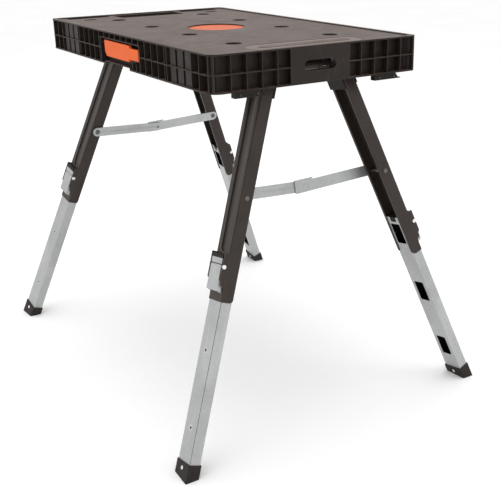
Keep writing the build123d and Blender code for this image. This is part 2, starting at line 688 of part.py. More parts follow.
def make_leg_channel():
    """Steel C-channel: grooved web outwards, lipped open side inwards, lock ears on the web side."""
    width, depth = CHANNEL
    length = CHANNEL_END - CHANNEL_TOP
    inner = (width - 2 * CHANNEL_WALL, depth - 2 * CHANNEL_WALL)
    with BuildPart() as channel:
        with BuildSketch(down(CHANNEL_END)):
            RectangleRounded(width, depth, 2.2)
            RectangleRounded(*inner, 1.0, mode=Mode.SUBTRACT)
            with Locations((0, -depth / 2)):
                Rectangle(width - 2 * CHANNEL_LIP, 3 * CHANNEL_WALL, mode=Mode.SUBTRACT)
        extrude(amount=length)
        # raised land on the web, with a long groove that ends in a half circle
        land_top = COLLAR_END + SIDE_GAP
        with BuildSketch(Plane.XZ.offset(-depth / 2 + 0.2)):
            with Locations((0, -(land_top + LAND_END) / 2)):
                Rectangle(width - 4.4, LAND_END - land_top)
        extrude(amount=-GROOVE_LAND - 0.2)
        with BuildSketch(Plane.XZ.offset(-depth / 2 + 0.6)):
            with Locations((0, -(GROOVE_END - GROOVE_HALF))):
                Circle(GROOVE_HALF)
            with Locations((0, -(land_top + GROOVE_END - GROOVE_HALF) / 2)):
                Rectangle(2 * GROOVE_HALF, GROOVE_END - GROOVE_HALF - land_top)
        extrude(amount=-GROOVE_LAND - 0.6, mode=Mode.SUBTRACT)
        # lock ears: the two flanges carried on past the web
        for start in (-width / 2, width / 2 - EAR_THICKNESS):
            with BuildSketch(Plane.YZ.offset(start)):
                with BuildLine():
                    Polyline(
                        (depth / 2 - 0.8, -378.0), (EAR_OUT, -378.0), (EAR_OUT, -431.0),
                        (20.5, -435.5), (20.5, -443.0), (depth / 2 - 0.8, -449.0), close=True,
                    )
                make_face()
                fillet([v for v in vertices() if v.Y > 18.0], radius=2.2)
            extrude(amount=EAR_THICKNESS)
        # cam window in the web, pin holes in the ears, stay bolt holes in the flanges
        with BuildSketch(Plane.XZ.offset(-depth / 2 - 2.0)):
            with Locations((0, -(LOCK_PIN + 2.75))):
                Rectangle(18.0, 14.5)
        extrude(amount=4.0, mode=Mode.SUBTRACT)
        with BuildSketch(Plane.YZ.offset(-width / 2)):
            with Locations((LOCK_PIN_OUT, -LOCK_PIN)):
                Circle(LOCK_PIN_RADIUS + RUNNING_GAP)
            with Locations((0, -STAY_PIVOT)):
                Circle(STAY_BOLT_RADIUS + RUNNING_GAP)
        extrude(amount=width, mode=Mode.SUBTRACT)
        # the flanges' inner corners are rounded at the bottom end
        corner = 9.0
        with BuildSketch(Plane.YZ.offset(-width / 2)):
            with Locations((-depth / 2 + corner / 2, -CHANNEL_END + corner / 2)):
                Rectangle(corner, corner)
            with Locations((-depth / 2 + corner, -CHANNEL_END + corner)):
                Circle(corner, mode=Mode.SUBTRACT)
        extrude(amount=width, mode=Mode.SUBTRACT)
    return channel


def make_stay_bolt(spacer):
    """Through bolt of one stay: domed head outside, shank across the channel, riveted tail inside."""
    half = CHANNEL[0] / 2
    link_in = half + SIDE_GAP + spacer
    tail = link_in + STAY_THICKNESS + SIDE_GAP
    with BuildPart() as bolt:
        with BuildSketch(Plane.YZ.offset(-tail)):
            with Locations((0, -STAY_PIVOT)):
                Circle(STAY_BOLT_RADIUS)
        extrude(amount=tail + half)
        with BuildSketch(Plane.YZ.offset(half)):
            with Locations((0, -STAY_PIVOT)):
                Circle(5.2)
        extrude(amount=2.2)
        chamfer(bolt.edges().group_by(Axis.X)[-1], length=0.9)
        with BuildSketch(Plane.YZ.offset(-tail)):
            with Locations((0, -STAY_PIVOT)):
                Circle(6.5)
        extrude(amount=-2.2)
        if spacer > 0:
            with BuildSketch(Plane.YZ.offset(-half)):
                with Locations((0, -STAY_PIVOT)):
                    Circle(7.0)
            extrude(amount=-spacer)
    return bolt


def make_lock_pin():
    """Rivet across the lock ears; the lever turns on it."""
    half = CHANNEL[0] / 2
    with BuildPart() as pin:
        with BuildSketch(Plane.YZ.offset(-half)):
            with Locations((LOCK_PIN_OUT, -LOCK_PIN)):
                Circle(LOCK_PIN_RADIUS)
        extrude(amount=2 * half)
        for start, amount in ((half, 2.2), (-half, -2.2)):
            with BuildSketch(Plane.YZ.offset(start)):
                with Locations((LOCK_PIN_OUT, -LOCK_PIN)):
                    Circle(4.7)
            extrude(amount=amount)
    return pin


def make_lock_cover():
    """Fixed zinc cover above the lever: a face between two side walls that stand on the web."""
    face_in = LOCK_PIN_OUT + KNUCKLE_RADIUS - LEVER_SHEET
    face_out = LOCK_PIN_OUT + KNUCKLE_RADIUS
    bottom = LOCK_PIN - KNUCKLE_RADIUS - 0.6
    web = CHANNEL[1] / 2
    with BuildPart() as cover:
        with BuildSketch(down(bottom)):
            with Locations((0, (face_in + face_out) / 2)):
                Rectangle(2 * LEVER_HALF, LEVER_SHEET)
            for side in (-1, 1):
                with Locations((side * (LEVER_HALF - LEVER_SHEET / 2), (web + face_in) / 2)):
                    Rectangle(LEVER_SHEET, face_in - web)
        extrude(amount=bottom - COVER_TOP)
    return cover


def make_lock_cap():
    """Black plastic end cap on top of the cover."""
    low = CHANNEL[1] / 2 + GROOVE_LAND
    high = LOCK_PIN_OUT + KNUCKLE_RADIUS + 0.4
    with BuildPart() as cap:
        with BuildSketch(down(COVER_TOP)):
            with Locations((0, (low + high) / 2)):
                Rectangle(2 * LEVER_HALF + 1.4, high - low)
        extrude(amount=COVER_TOP - CAP_TOP)
        fillet(cap.edges().filter_by(Axis.X).sort_by(Axis.Y)[-2:].sort_by(Axis.Z)[-1], radius=3.0)
    return cap


def make_lock_lever():
    """Zinc cam lever: curled knuckle on the pin, face plate, side walls and cam lobe."""
    face_in = LOCK_PIN_OUT + KNUCKLE_RADIUS - LEVER_SHEET
    face_out = LOCK_PIN_OUT + KNUCKLE_RADIUS
    wall_in = 15.6
    with BuildPart() as lever:
        with BuildSketch(Plane.YZ.offset(-LEVER_HALF)):
            with Locations((LOCK_PIN_OUT, -LOCK_PIN)):
                Circle(KNUCKLE_RADIUS)
            with Locations(((face_in + face_out) / 2, -(LOCK_PIN + LEVER_END) / 2)):
                Rectangle(LEVER_SHEET, LEVER_END - LOCK_PIN)
        extrude(amount=2 * LEVER_HALF)
        for start in (-LEVER_HALF, LEVER_HALF - LEVER_SHEET):
            with BuildSketch(Plane.YZ.offset(start)):
                with BuildLine():
                    Polyline(
                        (wall_in, -LOCK_PIN - 3.5), (face_out, -LOCK_PIN - 3.5),
                        (face_out, -LEVER_END), (wall_in, -LEVER_END - 4.0), close=True,
                    )
                make_face()
            extrude(amount=LEVER_SHEET)
        # cam lobe through the web's window
        with BuildSketch(Plane.YZ.offset(-8.0)):
            with Locations((16.5, -LOCK_PIN)):
                Rectangle(7.0, 6.0)
        extrude(amount=16.0)
        with BuildSketch(Plane.YZ.offset(-LEVER_HALF)):
            with Locations((LOCK_PIN_OUT, -LOCK_PIN)):
                Circle(LOCK_PIN_RADIUS + RUNNING_GAP)
        extrude(amount=2 * LEVER_HALF, mode=Mode.SUBTRACT)
    return lever


# ================================================================ lower legs
def make_inner_tube():
    """Zinc-plated lower tube: windows on the inner face, locating holes on the outer one."""
    width, depth = TUBE
    with BuildPart() as tube:
        with BuildSketch(down(PIVOT_HEIGHT + 90.0)):
            RectangleRounded(width, depth, 2.0)
            RectangleRounded(width - 2 * TUBE_WALL, depth - 2 * TUBE_WALL, 1.0, mode=Mode.SUBTRACT)
        extrude(amount=PIVOT_HEIGHT + 90.0 - TUBE_TOP)
        split(bisect_by=level(TUBE_END_HEIGHT), keep=Keep.TOP)
        window_width, window_length = WINDOW
        with BuildSketch(Plane.XZ.offset(depth / 2 + 0.5)):
            for step in range(3):
                with Locations((0, -(FIRST_WINDOW + step * WINDOW_PITCH))):
                    RectangleRounded(window_width, window_length, 3.0)
            with Locations((0, -(TUBE_TOP + TUBE_NOTCH[1] / 2 - 2.0))):
                RectangleRounded(TUBE_NOTCH[0], TUBE_NOTCH[1] + 4.0, 3.0)
        extrude(amount=-TUBE_WALL - 1.0, mode=Mode.SUBTRACT)
        with BuildSketch(Plane.XZ.offset(-depth / 2 - 0.5)):
            for step in range(3):
                with Locations((0, -(FIRST_WINDOW - 4.0 + step * WINDOW_PITCH))):
                    Circle(LOCATING_HOLE_RADIUS)
        extrude(amount=TUBE_WALL + 1.0, mode=Mode.SUBTRACT)
        with BuildSketch(Plane.XZ.offset(-FOOT[1] / 2)):
            with Locations((0, -FOOT_RIVET)):
                Circle(2.05)
        extrude(amount=FOOT[1], mode=Mode.SUBTRACT)
    return tube


def make_foot_pocket():
    """The space that the tube's end fills inside the foot."""
    with BuildPart() as pocket:
        with BuildSketch(down(PIVOT_HEIGHT + 90.0)):
            RectangleRounded(*TUBE, 2.0)
        extrude(amount=PIVOT_HEIGHT + 90.0 - FOOT_TOP)
        split(bisect_by=level(TUBE_END_HEIGHT), keep=Keep.TOP)
    return pocket


def make_foot(pocket):
    """Rubber foot: a cap over the tube's end, cut level with the floor."""
    with BuildPart() as foot:
        with BuildSketch(down(PIVOT_HEIGHT + 90.0)):
            RectangleRounded(*FOOT, 3.0)
        extrude(amount=PIVOT_HEIGHT + 90.0 - FOOT_TOP)
        split(bisect_by=level(0.0), keep=Keep.TOP)
        add(pocket.part, mode=Mode.SUBTRACT)
        with BuildSketch(Plane.XZ.offset(-FOOT[1] / 2)):
            with Locations((0, -FOOT_RIVET)):
                Circle(2.05)
        extrude(amount=FOOT[1], mode=Mode.SUBTRACT)
    return foot


def make_foot_rivets():
    """Two rivets through the foot and the tube, one on each broad face."""
    face = FOOT[1] / 2
    shank = face - TUBE[1] / 2 + TUBE_WALL
    with BuildPart() as rivets:
        for side in (-1, 1):
            with BuildSketch(Plane.XZ.offset(-side * face)):
                with Locations((0, -FOOT_RIVET)):
                    Circle(2.0)
            extrude(amount=side * shank)
            with BuildSketch(Plane.XZ.offset(-side * face)):
                with Locations((0, -FOOT_RIVET)):
                    Circle(4.2)
            extrude(amount=-side * 1.4)
    return rivets


# ================================================================ folding stays
def stay_points():
    """A stay link's two pivots in the end frame: the leg bolt and the middle rivet."""
    leg = (PIVOT_Y + STAY_PIVOT * sin(SPLAY), -STAY_PIVOT * cos(SPLAY))
    middle = (0.0, leg[1] - STAY_SAG)
    return leg, middle


def link_outline(side, overlap):
    """Slot-shaped link from the leg bolt to the middle rivet, with its overlap end plate."""
    leg, middle = stay_points()
    run = (middle[0] - side * leg[0], middle[1] - leg[1])
    length = hypot(*run)
    angle = degrees(atan2(run[1], run[0]))
    centre = ((side * leg[0] + middle[0]) / 2, (leg[1] + middle[1]) / 2)
    with Locations(centre):
        SlotCenterToCenter(length, STAY_HEIGHT, rotation=angle)
    if overlap:
        ahead = (run[0] / length, run[1] / length)
        half_rise = STAY_STOP_RISE / 2
        with Locations((middle[0] + 4.0 * ahead[0], middle[1] + 4.0 * ahead[1] + half_rise)):
            Rectangle(46.0, STAY_HEIGHT + STAY_STOP_RISE, rotation=angle)


def make_stay_link(side):
    """Flat stay link. The rear one (+1) overlaps in front and carries the stop lip."""
    leg, middle = stay_points()
    front_layer = -(CHANNEL[0] / 2 + SIDE_GAP)
    rear = side > 0
    start = front_layer if rear else front_layer - STAY_THICKNESS - SIDE_GAP
    with BuildPart() as link:
        with BuildSketch(Plane.YZ.offset(start)):
            link_outline(side, rear)
            with Locations((side * leg[0], leg[1])):
                Circle(STAY_BOLT_RADIUS + RUNNING_GAP, mode=Mode.SUBTRACT)
            with Locations(middle):
                Circle(STAY_BOLT_RADIUS + RUNNING_GAP, mode=Mode.SUBTRACT)
        extrude(amount=-STAY_THICKNESS)
        if rear:
            run = (-leg[0], middle[1] - leg[1])
            angle = degrees(atan2(run[1], run[0]))
            length = hypot(*run)
            ahead = (run[0] / length, run[1] / length)
            with BuildSketch(Plane.YZ.offset(start)):
                with Locations((
                    middle[0] + 16.5 * ahead[0],
                    middle[1] + 16.5 * ahead[1] + STAY_HEIGHT / 2 + STAY_STOP_RISE - 0.6,
                )):
                    Rectangle(21.0, 1.2, rotation=angle)
            extrude(amount=-2 * STAY_THICKNESS - SIDE_GAP)
    return link


def make_stay_rivet():
    """Middle rivet: head in front of the rear link, shank through that link only."""
    _, middle = stay_points()
    front_layer = -(CHANNEL[0] / 2 + SIDE_GAP)
    with BuildPart() as rivet:
        with BuildSketch(Plane.YZ.offset(front_layer)):
            with Locations(middle):
                Circle(STAY_BOLT_RADIUS)
        extrude(amount=-STAY_THICKNESS)
        with BuildSketch(Plane.YZ.offset(front_layer)):
            with Locations(middle):
                Circle(6.0)
        extrude(amount=1.8)
    return rivet


# ================================================================ the assembly
def build_top():
    save(make_top_shell(), "top_shell")
    save(make_centre_disc(), "centre_disc")
    save(make_hinge_saddles(), "hinge_saddles")
    save(make_saddle_screws(), "saddle_screws")
    save(make_accessory_brackets(), "accessory_brackets")
    save(make_bracket_screws(), "bracket_screws")
    save(make_carry_handle(), "carry_handle")
    save(make_handle_pin(), "carry_handle_pin")


def build_end(name, x_side):
    save(placed(make_frame_tube(), END_PLANE, x_side), "frame_tube_" + name)
    save(placed(make_yokes(), END_PLANE, x_side), "leg_yokes_" + name)
    save(placed(make_pivot_bolts(), END_PLANE, x_side), "leg_pivot_bolts_" + name)
    save(placed(make_stay_link(-1), END_PLANE, x_side), "stay_link_" + name + "_front")
    save(placed(make_stay_link(1), END_PLANE, x_side), "stay_link_" + name + "_rear")
    save(placed(make_stay_rivet(), END_PLANE, x_side), "stay_rivet_" + name)


def build_leg(name, x_side, y_side):
    spacer = 0.0 if y_side > 0 else STAY_THICKNESS
    foot_pocket = make_foot_pocket()
    pieces = {
        "leg_head": make_leg_head(),
        "leg_channel": make_leg_channel(),
        "stay_bolt": make_stay_bolt(spacer),
        "lock_pin": make_lock_pin(),
        "lock_cover": make_lock_cover(),
        "lock_cap": make_lock_cap(),
        "lock_lever": make_lock_lever(),
        "inner_tube": make_inner_tube(),
        "foot": make_foot(foot_pocket),
        "foot_rivets": make_foot_rivets(),
    }
    for label, piece in pieces.items():
        save(placed(piece, LEG_PLANE, x_side, y_side), label + "_" + name)


os.makedirs("parts", exist_ok=True)
build_top()
for end_name, end_side in ENDS.items():
    build_end(end_name, end_side)
for corner_name, (corner_x, corner_y) in CORNERS.items():
    build_leg(corner_name, corner_x, corner_y)
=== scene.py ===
import json
import math

import bmesh
import bpy
from mathutils import Euler, Matrix, Vector


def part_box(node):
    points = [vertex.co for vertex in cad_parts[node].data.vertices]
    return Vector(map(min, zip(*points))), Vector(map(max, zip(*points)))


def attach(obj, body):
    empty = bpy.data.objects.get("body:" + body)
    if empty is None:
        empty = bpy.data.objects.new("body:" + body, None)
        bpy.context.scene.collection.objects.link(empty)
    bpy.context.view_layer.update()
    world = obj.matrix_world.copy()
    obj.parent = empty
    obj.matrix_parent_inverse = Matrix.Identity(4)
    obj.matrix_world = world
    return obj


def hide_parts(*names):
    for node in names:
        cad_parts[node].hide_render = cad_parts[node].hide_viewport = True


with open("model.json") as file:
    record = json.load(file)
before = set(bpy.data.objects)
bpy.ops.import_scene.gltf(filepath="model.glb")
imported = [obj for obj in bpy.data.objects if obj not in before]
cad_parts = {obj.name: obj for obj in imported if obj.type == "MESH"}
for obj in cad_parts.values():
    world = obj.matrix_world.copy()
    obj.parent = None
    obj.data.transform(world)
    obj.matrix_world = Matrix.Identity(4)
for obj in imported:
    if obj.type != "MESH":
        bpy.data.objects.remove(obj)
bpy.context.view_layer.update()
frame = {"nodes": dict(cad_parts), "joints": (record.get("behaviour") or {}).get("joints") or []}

MM = 0.001
UP = Vector((0.0, 0.0, 1.0))
ENDS = {"clip": 1, "tray": -1}
SIDES = {"front": -1, "rear": 1}
JOINTS = {joint["name"]: joint for joint in frame["joints"]}
DISC_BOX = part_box("centre_disc")

# ------------------------------------------------------------------ sizes, in millimetres
# the table top: its deck, the two rows of dog holes and the long groove near the +X end
DECK_HEIGHT = 816.0
DOG_HOLE_PITCH = 193.0
DOG_HOLE_ROW = 120.0
GROOVE_MIDDLE = 370.0
GROOVE_REACH = 100.0
GROOVE_RADIUS = 24.5
GROOVE_HALF_WIDTH = 11.3

# each end frame: its cross tube, the weld to the yokes, and the stay's middle rivet
CROSS_TUBE_X = 352.2
CROSS_TUBE_HEIGHT = 770.0
YOKE_FACE = 62.0
STAY_MIDDLE_DOWN = 254.447
STAY_OUTER_FACE = 27.3

# each leg; a spot is (outward in the end frame's plane, down from the pivot)
CHANNEL_HALF = 27.0
STAY_BOLT = (0.0, 263.0)
STAY_GAP = 0.6
LINK_SHEET = 2.5
LOCK_PIN = (21.5, 405.0)
COVER_NUGGET = (26.0, 394.3)
COVER_NUGGET_SPREAD = 13.0
LEVER_LIP = (25.0, 453.6)
LEVER_LIP_LENGTH = 38.0
TUBE_FACE = 12.2
# where the painted shade line runs along the tube's corner, and how wide it is
TUBE_SHADE_LINE = (24.75, 11.4)
TUBE_SHADE_LINE_REACH = 0.42
TUBE_BORE_HALF = (24.6, 11.3)
LOCATING_HOLES = (418.0, 577.0, 736.0)
FOOT_RIVET = (14.5, 818.0)
FOOT_WALL = 3.7

# a fastener's head is (radius, height, depth of its dimple as a part of the height)
LOCK_PIN_HEAD = (4.7, 2.1, 0.25)
STAY_BOLT_HEAD = (5.2, 2.1, 0.20)
STAY_BOLT_TAIL = (6.5, 2.15, 0.35)
STAY_RIVET_HEAD = (6.0, 1.75, 0.30)
FOOT_RIVET_HEAD = (4.2, 1.35, 0.30)
NUGGET_HEAD = (1.7, 0.22, 0.2)
LOCK_PIN_SHANK = 2.5
STAY_SHANK = 4.0
FOOT_SHANK = 2.0

# profiles of (radius, height) pairs that are turned about an axis
DOME = [(1.0, 0.0), (1.0, 0.12), (0.93, 0.42), (0.76, 0.72), (0.50, 0.92)]
DOG_HOLE_LIP = [(17.0, -0.5), (17.0, 0.0), (17.4, 0.35), (18.6, 0.35), (19.3, 0.0), (19.3, -0.4)]
LOCATING_LIP = [
    (3.55, -1.4), (3.55, -0.1), (3.8, 0.16), (4.3, 0.20), (4.8, 0.12), (5.2, 0.0), (5.2, -0.2),
]
WELD_BEAD = [(12.4, 0.0), (15.4, 0.0), (15.1, 0.8), (14.3, 1.7), (13.3, 2.6), (12.45, 3.0)]

# ------------------------------------------------------------------ colours, as linear albedo
TOP_DARK = (0.015, 0.0105, 0.0085)
TOP_LIGHT = (0.024, 0.0175, 0.0145)
TOP_SCUFF = (0.11, 0.088, 0.080)
# edge colour: partly wear, partly a painted edge highlight
TOP_EDGE_WEAR_AND_HIGHLIGHT = (0.11, 0.085, 0.075)
# painted sheen and top light: the deck's upward faces made lighter
DECK_PAINTED_SHEEN = (0.112, 0.073, 0.058)
# painted sheen in the deck's long groove
GROOVE_PAINTED_SHEEN = (0.175, 0.130, 0.115)
ORANGE_DARK = (0.66, 0.098, 0.012)
ORANGE_LIGHT = (0.74, 0.122, 0.018)
ORANGE_SPECK = (0.52, 0.075, 0.012)
# the disc's orange: a darker copy of the handle's orange, painted shade that offsets the stronger light
# on the disc
DISC_DARK = (0.50, 0.088, 0.018)
DISC_LIGHT = (0.57, 0.108, 0.024)
BLACK_DARK = (0.011, 0.008, 0.0065)
BLACK_LIGHT = (0.019, 0.0145, 0.012)
# edge colour: partly wear, partly a painted edge highlight
BLACK_EDGE_WEAR_AND_HIGHLIGHT = (0.042, 0.034, 0.029)
COAT_DARK = (0.026, 0.019, 0.015)
COAT_LIGHT = (0.037, 0.028, 0.023)
COAT_RUBBED = (0.085, 0.072, 0.064)
# edge colour: partly wear, partly a painted edge highlight
COAT_EDGE_WEAR_AND_HIGHLIGHT = (0.13, 0.112, 0.10)
# painted shade along a tube's corner and in the tube's bore
CORNER_PAINTED_SHADE = (0.05, 0.055, 0.055)
BORE_PAINTED_SHADE = (0.022, 0.020, 0.019)
STEEL_DARK = (0.66, 0.66, 0.67)
STEEL_LIGHT = (0.86, 0.86, 0.85)
RUBBER_DARK = (0.014, 0.010, 0.009)
RUBBER_LIGHT = (0.032, 0.025, 0.022)
WHITE = (1.0, 1.0, 1.0)

ZINC_TINT = (0.985, 1.0, 1.0)
DULL_TINT = (0.30, 0.29, 0.28)
BLACKENED_TINT = (0.12, 0.11, 0.105)
ZINC_DARK = 0.35
ZINC_LIGHT = 0.47
ZINC_STREAK = 0.30
ZINC_SPANGLE = 0.64


def shade(tint, level):
    return tuple(level * channel for channel in tint)


# ------------------------------------------------------------------ leg frames
class LegFrame:
    """A leg's own directions: out of the end frame, outward in its plane, and down the leg."""

    def __init__(self, end, side):
        self.name = f"{end}_{side}"
        self.end = end
        self.side = side
        sign = ENDS[end] * SIDES[side]
        swing = JOINTS[f"leg_swing_{self.name}"]
        slide = JOINTS[f"leg_slide_{self.name}"]
        self.origin = Vector(swing["pos_m"])
        self.down = -Vector(slide["axis"]).normalized()
        self.outer = Vector(swing["axis"]).normalized() * -sign
        self.outward = self.outer.cross(self.down).normalized() * sign

    def point(self, outer, outward, down):
        """A place given in millimetres along the leg's own directions."""
        return self.origin + (
            self.outer * outer + self.outward * outward + self.down * down
        ) * MM

    def turn(self):
        """Angles that carry the row's coordinates into the leg's, for the grain of a material."""
        axes = Matrix((self.outer, self.outward, self.outer.cross(self.outward)))
        return axes.to_euler()


LEGS = [LegFrame(end, side) for end in ENDS for side in SIDES]


# ------------------------------------------------------------------ surface builder
class Paint:
    """A Principled material and the few node helpers that its surface needs."""

    def __init__(self, name, turn=None):
        self.material = bpy.data.materials.new(name)
        self.material.use_nodes = True
        self.tree = self.material.node_tree
        self.shader = self.tree.nodes["Principled BSDF"]
        self.geometry = self.node("NewGeometry")
        self.place = self.node("TexCoord").outputs["Object"]
        if turn is not None:
            self.place = self.mapped("Rotation", turn)

    def node(self, kind):
        return self.tree.nodes.new(f"ShaderNode{kind}")

    def link(self, source, target):
        self.tree.links.new(source, target)

    def mapped(self, setting, value):
        """The surface position, turned or stretched."""
        mapping = self.node("Mapping")
        mapping.inputs[setting].default_value = value
        self.link(self.place, mapping.inputs["Vector"])
        return mapping.outputs["Vector"]

    def stretched(self, scale):
        return self.mapped("Scale", scale)

    def noise(self, scale, detail=4.0, rough=0.55, place=None, distort=0.0):
        node = self.node("TexNoise")
        node.inputs["Scale"].default_value = scale
        node.inputs["Detail"].default_value = detail
        node.inputs["Roughness"].default_value = rough
        node.inputs["Distortion"].default_value = distort
        self.link(place or self.place, node.inputs["Vector"])
        return node.outputs["Fac"]

    def cells(self, scale):
        node = self.node("TexVoronoi")
        node.inputs["Scale"].default_value = scale
        self.link(self.place, node.inputs["Vector"])
        return node.outputs["Distance"]

    def ramp(self, source, *stops):
        """Turns a value from 0 to 1 into a colour or a grey through (position, value) stops."""
        node = self.node("ValToRGB")
        for element, (position, value) in zip(node.color_ramp.elements, stops):
            element.position = position
            element.color = (*value, 1.0) if isinstance(value, tuple) else (value, value, value, 1.0)
        self.link(source, node.inputs["Fac"])
        return node.outputs["Color"]

    def part(self, vector, axis):
        """One coordinate of a vector."""
        node = self.node("SeparateXYZ")
        self.link(vector, node.inputs["Vector"])
        return node.outputs[axis]

    def math(self, operation, a, b=0.0):
        node = self.node("Math")
        node.operation = operation
        for value, socket in zip((a, b), node.inputs):
            if isinstance(value, (int, float)):
                socket.default_value = value
            else:
                self.link(value, socket)
        return node.outputs["Value"]

    def plus(self, a, b):
        return self.math("ADD", a, b)

    def minus(self, a, b):
        return self.math("SUBTRACT", a, b)

    def times(self, a, b):
        return self.math("MULTIPLY", a, b)

    def average(self, a, b):
        return self.plus(self.times(a, 0.5), self.times(b, 0.5))

    def near(self, value, centre, reach):
        """One where a value lies within reach of a centre, zero elsewhere."""
        offset = self.math("ABSOLUTE", self.minus(value, centre))
        return self.math("LESS_THAN", offset, reach)

    def mix(self, factor, a, b):
        node = self.node("Mix")
        node.data_type = "RGBA"
        for value, socket in zip((factor, a, b), (node.inputs[0], node.inputs[6], node.inputs[7])):
            if isinstance(value, tuple):
                socket.default_value = (*value, 1.0)
            else:
                self.link(value, socket)
        return node.outputs[2]

    def bump(self, height, strength, distance, before=None):
        node = self.node("Bump")
        node.inputs["Strength"].default_value = strength
        node.inputs["Distance"].default_value = distance
        self.link(height, node.inputs["Height"])
        if before is not None:
            self.link(before, node.inputs["Normal"])
        return node.outputs["Normal"]

    def facing_up(self, level):
        """A level on faces that look up, zero on the others."""
        up = self.part(self.geometry.outputs["Normal"], "Z")
        return self.ramp(up, (0.86, 0.0), (0.98, level))

    def finish(self, colour, roughness=None, normal=None, **values):
        for name, source in (("Base Color", colour), ("Roughness", roughness), ("Normal", normal)):
            if source is not None:
                self.link(source, self.shader.inputs[name])
        for name, value in values.items():
            self.shader.inputs[name.replace("_", " ")].default_value = value
        return self.material


def worn_and_highlit_edges(paint, base, edge_tone):
    """Lighter colour in a narrow, broken line along convex edges: partly wear, partly a painted edge
    highlight.
    """
    rounded = paint.node("Bevel")
    rounded.samples = 4
    rounded.inputs["Radius"].default_value = 1.2 * MM
    facing = paint.node("VectorMath")
    facing.operation = "DOT_PRODUCT"
    paint.link(rounded.outputs["Normal"], facing.inputs[0])
    paint.link(paint.geometry.outputs["Normal"], facing.inputs[1])
    line = paint.ramp(facing.outputs["Value"], (0.90, 1.0), (0.995, 0.0))
    convex = paint.ramp(paint.geometry.outputs["Pointiness"], (0.50, 0.0), (0.56, 1.0))
    broken = paint.ramp(paint.noise(90.0, 5.0, 0.65), (0.35, 0.35), (0.65, 1.0))
    return paint.mix(paint.times(paint.times(line, convex), broken), base, edge_tone)


# ------------------------------------------------------------------ materials
def moulded_plastic(name, dark, light, grain, roughness, blotch):
    """Injection-moulded plastic: broad flow shading, fine spark-eroded grain and rubbed patches."""
    paint = Paint(name)
    flow = paint.noise(blotch, 5.0, 0.6, distort=0.6)
    fine = paint.noise(900.0, 3.0, 0.6)
    rubbed = paint.noise(34.0, 6.0, 0.7)
    colour = paint.ramp(flow, (0.30, dark), (0.72, light))
    colour = paint.mix(paint.ramp(fine, (0.35, 0.0), (0.65, 0.22)), colour, light)
    low, high = roughness
    rough = paint.ramp(paint.average(flow, rubbed), (0.35, low), (0.65, high))
    normal = paint.bump(fine, grain, 0.25 * MM)
    normal = paint.bump(paint.noise(14.0, 2.0), 0.12, 1.5 * MM, before=normal)
    return paint, colour, rough, normal


def groove_band(paint):
    """One in the long shallow groove of the deck: a track round a line along Y."""
    along = paint.minus(paint.part(paint.place, "X"), GROOVE_MIDDLE * MM)
    across = paint.math("ABSOLUTE", paint.part(paint.place, "Y"))
    beyond = paint.math("MAXIMUM", paint.minus(across, GROOVE_REACH * MM))
    squares = paint.plus(paint.times(along, along), paint.times(beyond, beyond))
    return paint.near(paint.math("POWER", squares, 0.5), GROOVE_RADIUS * MM, GROOVE_HALF_WIDTH * MM)


def deck_plastic():
    """The table top's plastic: scuffs, edges lightened partly by wear and partly by a painted highlight,
    a painted sheen and top light on faces that look up, and a painted sheen in the groove.
    """
    paint, colour, rough, normal = moulded_plastic(
        "top_plastic", TOP_DARK, TOP_LIGHT, 0.5, (0.44, 0.60), 6.0
    )
    scratches = paint.noise(22.0, 8.0, 0.75, place=paint.stretched((0.6, 3.5, 1.0)), distort=1.2)
    swirls = paint.noise(5.0, 3.0, 0.5, distort=2.6)
    scuffs = paint.times(paint.ramp(scratches, (0.52, 0.0), (0.75, 1.0)),
                         paint.ramp(swirls, (0.40, 0.0), (0.62, 1.0)))
    colour = paint.mix(paint.times(scuffs, 0.40), colour, TOP_SCUFF)
    colour = worn_and_highlit_edges(paint, colour, TOP_EDGE_WEAR_AND_HIGHLIGHT)
    patches = paint.ramp(paint.noise(11.0, 6.0, 0.65), (0.30, 0.42), (0.70, 0.74))
    # painted sheen and top light on faces that look up, broken into patches
    colour = paint.mix(paint.times(paint.facing_up(1.0), patches), colour, DECK_PAINTED_SHEEN)
    # painted sheen in the groove, on its upward faces
    colour = paint.mix(paint.times(groove_band(paint), paint.facing_up(0.75)), colour, GROOVE_PAINTED_SHEEN)
    return paint.finish(colour, rough, normal, Specular_IOR_Level=0.19)


def orange_plastic(name, dark, light):
    paint, colour, rough, normal = moulded_plastic(name, dark, light, 0.35, (0.42, 0.54), 9.0)
    specks = paint.ramp(paint.noise(260.0, 4.0, 0.7), (0.66, 0.0), (0.74, 0.55))
    colour = paint.mix(specks, colour, ORANGE_SPECK)
    return paint.finish(colour, rough, normal, Specular_IOR_Level=0.16)


def black_plastic():
    paint, colour, rough, normal = moulded_plastic(
        "black_plastic", BLACK_DARK, BLACK_LIGHT, 0.5, (0.44, 0.58), 20.0
    )
    colour = worn_and_highlit_edges(paint, colour, BLACK_EDGE_WEAR_AND_HIGHLIGHT)
    return paint.finish(colour, rough, normal, Specular_IOR_Level=0.12)


def powder_coat(name, turn=None):
    """Brown-black powder coat: orange-peel skin, a little sheen, rubbed streaks, and edges lightened
    partly by wear and partly by a painted highlight.
    """
    paint = Paint(name, turn)
    cloud = paint.noise(16.0, 5.0, 0.6)
    rubs = paint.noise(40.0, 7.0, 0.8, place=paint.stretched((3.0, 3.0, 0.25)))
    colour = paint.ramp(cloud, (0.3, COAT_DARK), (0.7, COAT_LIGHT))
    colour = paint.mix(paint.ramp(rubs, (0.62, 0.0), (0.80, 0.40)), colour, COAT_RUBBED)
    colour = worn_and_highlit_edges(paint, colour, COAT_EDGE_WEAR_AND_HIGHLIGHT)
    rough = paint.ramp(cloud, (0.3, 0.36), (0.7, 0.50))
    normal = paint.bump(paint.noise(520.0, 2.0, 0.5), 0.28, 0.3 * MM)
    return paint.finish(colour, rough, normal, Specular_IOR_Level=0.26)


